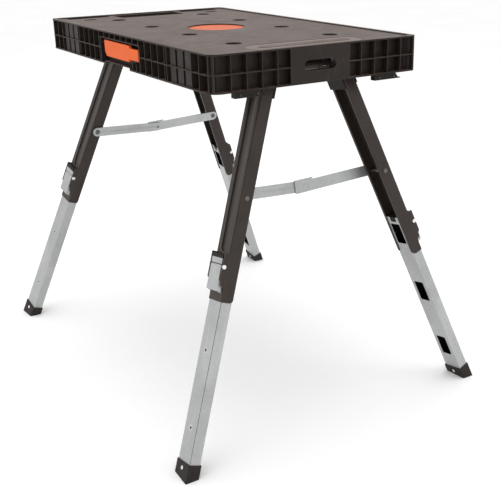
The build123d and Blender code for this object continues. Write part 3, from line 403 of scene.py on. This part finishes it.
def corner_and_bore_shade(paint, colour, leg):
    """Painted shade: a dark line along one corner of a leg's tube, and a dark bore inside the tube."""
    outer = paint.part(paint.place, "X")
    outward = paint.part(paint.place, "Y")
    middle = (leg.origin.dot(leg.outer), leg.origin.dot(leg.outward))
    corner_shade = paint.times(
        paint.near(outer, middle[0] + TUBE_SHADE_LINE[0] * MM, TUBE_SHADE_LINE_REACH * MM),
        paint.math("GREATER_THAN", outward, middle[1] + TUBE_SHADE_LINE[1] * MM),
    )
    bore = paint.times(
        paint.near(outer, middle[0], TUBE_BORE_HALF[0] * MM),
        paint.near(outward, middle[1], TUBE_BORE_HALF[1] * MM),
    )
    return paint.mix(bore, paint.mix(corner_shade, colour, CORNER_PAINTED_SHADE), BORE_PAINTED_SHADE)


def zinc_plate(name, tint=ZINC_TINT, tube_of=None):
    """Dull zinc plate: grey bloom, faint spangle and, on a leg's tube, streaks along it, with painted
    shade along one corner and in the bore.
    """
    paint = Paint(name, tube_of.turn() if tube_of else None)
    drawn = paint.noise(60.0, 7.0, 0.65, place=paint.stretched((6.0, 6.0, 0.12)))
    spangle = paint.cells(150.0)
    bloom = paint.noise(9.0, 6.0, 0.62, distort=0.8)
    colour = paint.ramp(bloom, (0.32, shade(tint, ZINC_DARK)), (0.68, shade(tint, ZINC_LIGHT)))
    if tube_of:
        streaks = paint.ramp(drawn, (0.40, 0.0), (0.70, 0.35))
        colour = paint.mix(streaks, colour, shade(tint, ZINC_STREAK))
    flakes = paint.ramp(spangle, (0.0, 0.0), (0.9, 0.18))
    colour = paint.mix(flakes, colour, shade(tint, ZINC_SPANGLE))
    if tube_of:
        # painted shade along one corner and in the bore
        colour = corner_and_bore_shade(paint, colour, tube_of)
    rough = paint.ramp(paint.average(drawn, bloom), (0.35, 0.36), (0.65, 0.52))
    normal = paint.bump(drawn, 0.10, 0.3 * MM)
    normal = paint.bump(spangle, 0.06, 0.4 * MM, before=normal)
    return paint.finish(colour, rough, normal, Metallic=0.85)


def bright_steel():
    paint = Paint("bright_steel")
    bloom = paint.noise(60.0, 5.0, 0.6)
    colour = paint.ramp(bloom, (0.3, STEEL_DARK), (0.7, STEEL_LIGHT))
    rough = paint.ramp(bloom, (0.3, 0.20), (0.7, 0.38))
    pits = paint.bump(paint.noise(700.0, 4.0, 0.6), 0.15, 0.2 * MM)
    return paint.finish(colour, rough, pits, Metallic=1.0)


def foot_rubber():
    paint = Paint("foot_rubber")
    dust = paint.noise(55.0, 6.0, 0.7)
    colour = paint.ramp(dust, (0.4, RUBBER_DARK), (0.75, RUBBER_LIGHT))
    rough = paint.ramp(dust, (0.3, 0.55), (0.7, 0.75))
    grain = paint.bump(paint.noise(1100.0, 3.0, 0.6), 0.4, 0.3 * MM)
    return paint.finish(colour, rough, grain, Specular_IOR_Level=0.22)


TOP = deck_plastic()
ORANGE = orange_plastic("orange_plastic", ORANGE_DARK, ORANGE_LIGHT)
# darker copy of the orange for the disc: painted shade
DISC_SHADED_ORANGE = orange_plastic("disc_shaded_orange", DISC_DARK, DISC_LIGHT)
BLACK = black_plastic()
STEEL = bright_steel()
RUBBER = foot_rubber()
SHEET = zinc_plate("zinc_sheet")
DULL_STEEL = zinc_plate("dull_steel", DULL_TINT)
BLACKENED_STEEL = zinc_plate("blackened_steel", BLACKENED_TINT)
FRAME_PAINT = {end: powder_coat(f"frame_paint_{end}") for end in ENDS}


# ------------------------------------------------------------------ looks of the CAD nodes
def soften(piece, width, segments):
    """Rounds a piece's hard edges a little, so that they catch the light."""
    weld = piece.modifiers.new("weld", "WELD")
    weld.merge_threshold = 1e-6
    bevel = piece.modifiers.new("bevel", "BEVEL")
    bevel.width = width * MM
    bevel.segments = segments
    bevel.limit_method = "ANGLE"
    bevel.angle_limit = math.radians(35.0)
    bevel.harden_normals = True
    bevel.miter_outer = "MITER_ARC"


def dress(node, material, edge=None, segments=2):
    """Gives a CAD node its material and, where an edge width is given, softer edges."""
    piece = frame["nodes"][node]
    piece.data.materials.clear()
    piece.data.materials.append(material)
    if edge is not None:
        soften(piece, edge, segments)


def dress_top():
    dress("top_shell", TOP, 0.5)
    dress("carry_handle", ORANGE, 0.9, 3)
    dress("carry_handle_pin", BLACK)
    dress("hinge_saddles", powder_coat("saddle_paint"))
    dress("saddle_screws", STEEL)
    dress("accessory_brackets", BLACK, 0.8, 3)
    dress("bracket_screws", BLACKENED_STEEL)


def dress_end_frame(end):
    dress(f"frame_tube_{end}", FRAME_PAINT[end])
    dress(f"leg_yokes_{end}", FRAME_PAINT[end], 0.5)
    dress(f"leg_pivot_bolts_{end}", STEEL)


def dress_leg(leg):
    dress(f"leg_channel_{leg.name}", powder_coat(f"leg_paint_{leg.name}", leg.turn()), 0.35)
    dress(f"inner_tube_{leg.name}", zinc_plate(f"zinc_tube_{leg.name}", tube_of=leg))
    dress(f"leg_head_{leg.name}", BLACK, 1.2, 3)
    dress(f"lock_lever_{leg.name}", SHEET, 0.35)
    dress(f"lock_cover_{leg.name}", SHEET, 0.35)
    dress(f"lock_cap_{leg.name}", BLACK, 0.8, 3)
    dress(f"stay_link_{leg.name}", SHEET, 0.4)
    dress(f"foot_{leg.name}", RUBBER, 1.2, 3)


dress_top()
for end in ENDS:
    dress_end_frame(end)
for leg in LEGS:
    dress_leg(leg)


# ------------------------------------------------------------------ mesh builders
def new_piece(name, build, body, material):
    """Builds a mesh piece in the row's coordinates that rides on a body."""
    bm = bmesh.new()
    build(bm)
    bmesh.ops.remove_doubles(bm, verts=bm.verts, dist=1e-7)
    bmesh.ops.recalc_face_normals(bm, faces=bm.faces)
    mesh = bpy.data.meshes.new(name)
    bm.to_mesh(mesh)
    bm.free()
    mesh.materials.append(material)
    piece = bpy.data.objects.new(name, mesh)
    bpy.context.scene.collection.objects.link(piece)
    mesh.shade_smooth()
    mesh.set_sharp_from_angle(angle=math.radians(35.0))
    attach(piece, body)
    return piece


def lathe(bm, centre, axis, profile, segments=32):
    """Turns a profile of (radius, height) pairs in millimetres about an axis through centre."""
    axis = Vector(axis).normalized()
    across = axis.orthogonal().normalized()
    beside = axis.cross(across)
    rings = []
    for radius, height in profile:
        middle = centre + axis * height * MM
        if radius == 0.0:
            rings.append([bm.verts.new(middle)])
            continue
        ring = []
        for step in range(segments):
            angle = 2 * math.pi * step / segments
            spoke = across * math.cos(angle) + beside * math.sin(angle)
            ring.append(bm.verts.new(middle + spoke * radius * MM))
        rings.append(ring)
    for below, above in zip(rings, rings[1:]):
        for step in range(max(len(below), len(above))):
            after = (step + 1) % segments
            corners = []
            for ring, index in ((below, step), (below, after), (above, after), (above, step)):
                vert = ring[index % len(ring)]
                if vert not in corners:
                    corners.append(vert)
            if len(corners) > 2:
                bm.faces.new(corners)


def rod(bm, start, axis, radius, length, segments=32):
    lathe(bm, start, axis, [(0.0, 0.0), (radius, 0.0), (radius, length), (0.0, length)], segments)


def rivet_head(bm, centre, axis, head):
    """A domed head, with the small dimple that setting the rivet leaves."""
    radius, height, dimple = head
    lathe(bm, centre, axis, [
        (0.0, 0.0),
        *((radius * r, height * h) for r, h in DOME),
        (radius * 0.34, height * 0.97),
        (radius * 0.22, height * (1 - dimple)),
        (0.0, height * (0.96 - dimple)),
    ])


def cushion(bm, leg, outer, outward, down, edge):
    """A small block between pairs of leg coordinates, with its edges rounded off."""
    verts = [bm.verts.new(leg.point(x, y, z)) for x in outer for y in outward for z in down]
    faces = [
        bm.faces.new([verts[i] for i in loop])
        for loop in ((0, 1, 3, 2), (4, 6, 7, 5), (0, 4, 5, 1), (2, 3, 7, 6), (0, 2, 6, 4), (1, 5, 7, 3))
    ]
    edges = {rim for face in faces for rim in face.edges}
    bmesh.ops.bevel(
        bm, geom=list(edges), offset=edge * MM, segments=3, profile=0.6, affect="EDGES"
    )


# ------------------------------------------------------------------ pieces of the top
def disc_mesh(bm):
    """Snap-in disc: a flat face with a fine ring groove, a rolled edge and a dimple."""
    low, high = DISC_BOX
    radius = (high.x - low.x) / 2 / MM
    thick = (high.z - low.z) / MM
    centre = Vector(((low.x + high.x) / 2, (low.y + high.y) / 2, low.z))
    lathe(bm, centre, UP, [
        (0.0, 0.0), (radius - 0.6, 0.0), (radius, 0.5), (radius, thick - 0.6), (radius - 0.6, thick),
        (radius - 5.0, thick), (radius - 5.5, thick - 0.5), (radius - 6.7, thick - 0.5),
        (radius - 7.2, thick), (3.4, thick), (3.0, thick - 0.4), (0.0, thick - 0.5),
    ], 96)


def hole_lips_mesh(bm):
    """A fine raised lip round every dog hole."""
    for step in (-1.5, -0.5, 0.5, 1.5):
        for side in (-1, 1):
            spot = Vector((step * DOG_HOLE_PITCH, side * DOG_HOLE_ROW, DECK_HEIGHT)) * MM
            lathe(bm, spot, UP, DOG_HOLE_LIP, 48)


# ------------------------------------------------------------------ pieces of an end frame
def stay_rivet_mesh(leg):
    """The rivet through the two links, in the middle of an end's stay."""
    pair = [other for other in LEGS if other.end == leg.end]
    up = -(pair[0].down + pair[1].down).normalized()
    hinge = Vector((ENDS[leg.end] * CROSS_TUBE_X, 0.0, CROSS_TUBE_HEIGHT)) * MM
    middle = hinge - up * STAY_MIDDLE_DOWN * MM - pair[0].outer * STAY_OUTER_FACE * MM

    def build(bm):
        rivet_head(bm, middle, leg.outer, STAY_RIVET_HEAD)
        rod(bm, middle, -leg.outer, STAY_SHANK, LINK_SHEET)
    return build


def weld_bead_mesh(end):
    """Fillet beads where the cross tube meets its two yokes."""
    def build(bm):
        for side in (-1, 1):
            spot = Vector((ENDS[end] * CROSS_TUBE_X, side * YOKE_FACE, CROSS_TUBE_HEIGHT)) * MM
            lathe(bm, spot, Vector((0.0, -side, 0.0)), WELD_BEAD, 40)
    return build


# ------------------------------------------------------------------ pieces of a leg
def lock_pin_mesh(leg):
    def build(bm):
        for side in (1, -1):
            rivet_head(bm, leg.point(side * CHANNEL_HALF, *LOCK_PIN), leg.outer * side, LOCK_PIN_HEAD)
        rod(bm, leg.point(-CHANNEL_HALF, *LOCK_PIN), leg.outer, LOCK_PIN_SHANK, 2 * CHANNEL_HALF)
    return build


def stay_bolt_mesh(leg):
    """The bolt through the leg that holds the stay, with a spacer where the link stands off."""
    spacer = LINK_SHEET if leg.side == "front" else 0.0
    tail = CHANNEL_HALF + STAY_GAP + spacer + LINK_SHEET

    def build(bm):
        rivet_head(bm, leg.point(CHANNEL_HALF, *STAY_BOLT), leg.outer, STAY_BOLT_HEAD)
        rod(bm, leg.point(-tail, *STAY_BOLT), leg.outer, STAY_SHANK, tail + CHANNEL_HALF)
        rivet_head(bm, leg.point(-tail, *STAY_BOLT), -leg.outer, STAY_BOLT_TAIL)
        if spacer:
            lathe(bm, leg.point(-CHANNEL_HALF, *STAY_BOLT), -leg.outer, [
                (STAY_SHANK, 0.0), (6.6, 0.0), (7.0, 0.4), (7.0, spacer - 0.4), (6.6, spacer),
                (STAY_SHANK, spacer),
            ])
    return build


def foot_rivet_mesh(leg):
    out, down = FOOT_RIVET

    def build(bm):
        for side in (1, -1):
            spot = leg.point(0.0, side * out, down)
            rivet_head(bm, spot, leg.outward * side, FOOT_RIVET_HEAD)
            rod(bm, spot, leg.outward * -side, FOOT_SHANK, FOOT_WALL, 24)
    return build


def tube_plug_mesh(leg):
    """Plastic plug in the tube's mouth, with a tongue that fills the notch and two pads."""
    def build(bm):
        cushion(bm, leg, (-23.6, 23.6), (-10.4, 10.4), (378.6, 384.0), 1.2)
        cushion(bm, leg, (-8.6, 8.6), (-12.0, -8.0), (378.6, 388.4), 1.2)
        for side in (-1, 1):
            pad = (side * 15.0 - 3.0, side * 15.0 + 3.0)
            cushion(bm, leg, pad, (-6.0, 6.0), (377.9, 379.5), 0.5)
    return build


def locating_lips_mesh(leg):
    """Pressed lips round the locating holes in the tube's outward face."""
    def build(bm):
        for down in LOCATING_HOLES:
            lathe(bm, leg.point(0.0, TUBE_FACE, down), leg.outward, LOCATING_LIP, 36)
    return build


def cover_nuggets_mesh(leg):
    """Two spot-weld nuggets on the lock cover's face."""
    def build(bm):
        for side in (-1, 1):
            spot = leg.point(side * COVER_NUGGET_SPREAD, *COVER_NUGGET)
            rivet_head(bm, spot, leg.outward, NUGGET_HEAD)
    return build


def lever_lip_mesh(leg):
    """Rolled thumb lip across the free end of the lever."""
    def build(bm):
        start = leg.point(-LEVER_LIP_LENGTH / 2, *LEVER_LIP)
        lathe(bm, start, leg.outer, [
            (0.0, 0.0), (0.9, 0.2), (1.15, 0.8), (1.15, LEVER_LIP_LENGTH - 0.8),
            (0.9, LEVER_LIP_LENGTH - 0.2), (0.0, LEVER_LIP_LENGTH),
        ], 20)
    return build


# ------------------------------------------------------------------ pieces added or put in a node's place
disc = new_piece("disc_face", disc_mesh, "table_top", DISC_SHADED_ORANGE)
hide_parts("centre_disc")
new_piece("dog_hole_lips", hole_lips_mesh, "table_top", TOP)

for end in ENDS:
    rear = next(leg for leg in LEGS if leg.name == f"{end}_rear")
    rivet = new_piece(f"stay_rivet_head_{end}", stay_rivet_mesh(rear), f"stay_{rear.name}",
                      SHEET)
    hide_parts(f"stay_rivet_{end}")
    new_piece(f"weld_beads_{end}", weld_bead_mesh(end), f"end_frame_{end}",
              FRAME_PAINT[end])

for leg in LEGS:
    for label, build, body, node, metal in (
        ("lock_rivet", lock_pin_mesh(leg), "leg", "lock_pin", STEEL),
        ("stay_bolt_heads", stay_bolt_mesh(leg), "leg", "stay_bolt", DULL_STEEL),
        ("foot_rivet_heads", foot_rivet_mesh(leg), "lower_leg", "foot_rivets", STEEL),
    ):
        piece = new_piece(f"{label}_{leg.name}", build, f"{body}_{leg.name}", metal)
        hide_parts(f"{node}_{leg.name}")
    for label, build, body, material, slot in (
        ("tube_plug", tube_plug_mesh(leg), "lower_leg", BLACK, "black_plastic"),
        ("locating_lips", locating_lips_mesh(leg), "lower_leg", STEEL, "zinc_tube"),
        ("cover_nuggets", cover_nuggets_mesh(leg), "leg", SHEET, "zinc_sheet"),
        ("lever_lip", lever_lip_mesh(leg), "lever", SHEET, "zinc_sheet"),
    ):
        new_piece(f"{label}_{leg.name}", build, f"{body}_{leg.name}", material)


# ------------------------------------------------------------------ camera, floor and lights
# places in metres, angles in degrees, powers in watts
CAMERA_PLACE = (1.8616, -1.0178, 1.0439)
CAMERA_AZIMUTH = 56.16
CAMERA_ELEVATION = 20.49
CAMERA_ROLL = -0.5845
CAMERA_LENS = 63.14
CAMERA_SHIFT = -0.1
FLOOR_REACH = 14.0
DAYLIGHT = 1.04
LIGHTS = (
    ("key", (2.2, 2.4, 2.6), (0.0, 0.0, 0.6), (1.6, 1.6), 8.0),
    ("top", (-0.4, 0.2, 3.2), (0.0, 0.0, 0.8), (2.4, 2.4), 31.0),
    ("front", (1.2, -3.0, 1.4), (0.0, 0.0, 0.5), (2.0, 1.6), 8.0),
)


def add_camera():
    data = bpy.data.cameras.new("camera")
    data.lens = CAMERA_LENS
    data.sensor_width = 36.0
    data.shift_x = CAMERA_SHIFT
    data.clip_start = 0.05
    data.clip_end = 60.0
    camera = bpy.data.objects.new("camera", data)
    camera.location = CAMERA_PLACE
    turn = Euler((math.radians(90.0 - CAMERA_ELEVATION), 0.0, math.radians(CAMERA_AZIMUTH)))
    roll = Matrix.Rotation(math.radians(CAMERA_ROLL), 3, "Z")
    camera.rotation_euler = (turn.to_matrix() @ roll).to_euler()
    bpy.context.scene.collection.objects.link(camera)
    bpy.context.scene.camera = camera


def add_floor():
    """A plain, flat, pale floor."""
    paint = Paint("floor")
    tone = paint.ramp(paint.noise(1.5, 3.0), (0.3, 0.93), (0.7, 0.96))
    paint.finish(tone, Roughness=0.9, Specular_IOR_Level=0.1)
    bm = bmesh.new()
    bmesh.ops.create_grid(bm, x_segments=8, y_segments=8, size=FLOOR_REACH)
    mesh = bpy.data.meshes.new("floor")
    bm.to_mesh(mesh)
    bm.free()
    mesh.materials.append(paint.material)
    floor = bpy.data.objects.new("floor", mesh)
    bpy.context.scene.collection.objects.link(floor)


def add_light(name, place, target, size, power):
    data = bpy.data.lights.new(name, "AREA")
    data.shape = "RECTANGLE"
    data.size, data.size_y = size
    data.energy = power
    data.color = WHITE
    light = bpy.data.objects.new(name, data)
    light.location = place
    light.rotation_euler = (Vector(target) - Vector(place)).to_track_quat("-Z", "Y").to_euler()
    bpy.context.scene.collection.objects.link(light)


def add_world():
    world = bpy.data.worlds.new("studio")
    world.use_nodes = True
    background = world.node_tree.nodes["Background"]
    background.inputs["Color"].default_value = (*WHITE, 1.0)
    background.inputs["Strength"].default_value = DAYLIGHT
    bpy.context.scene.world = world


add_camera()
add_floor()
add_world()
for light in LIGHTS:
    add_light(*light)
bpy.context.scene.view_settings.view_transform = "Standard"
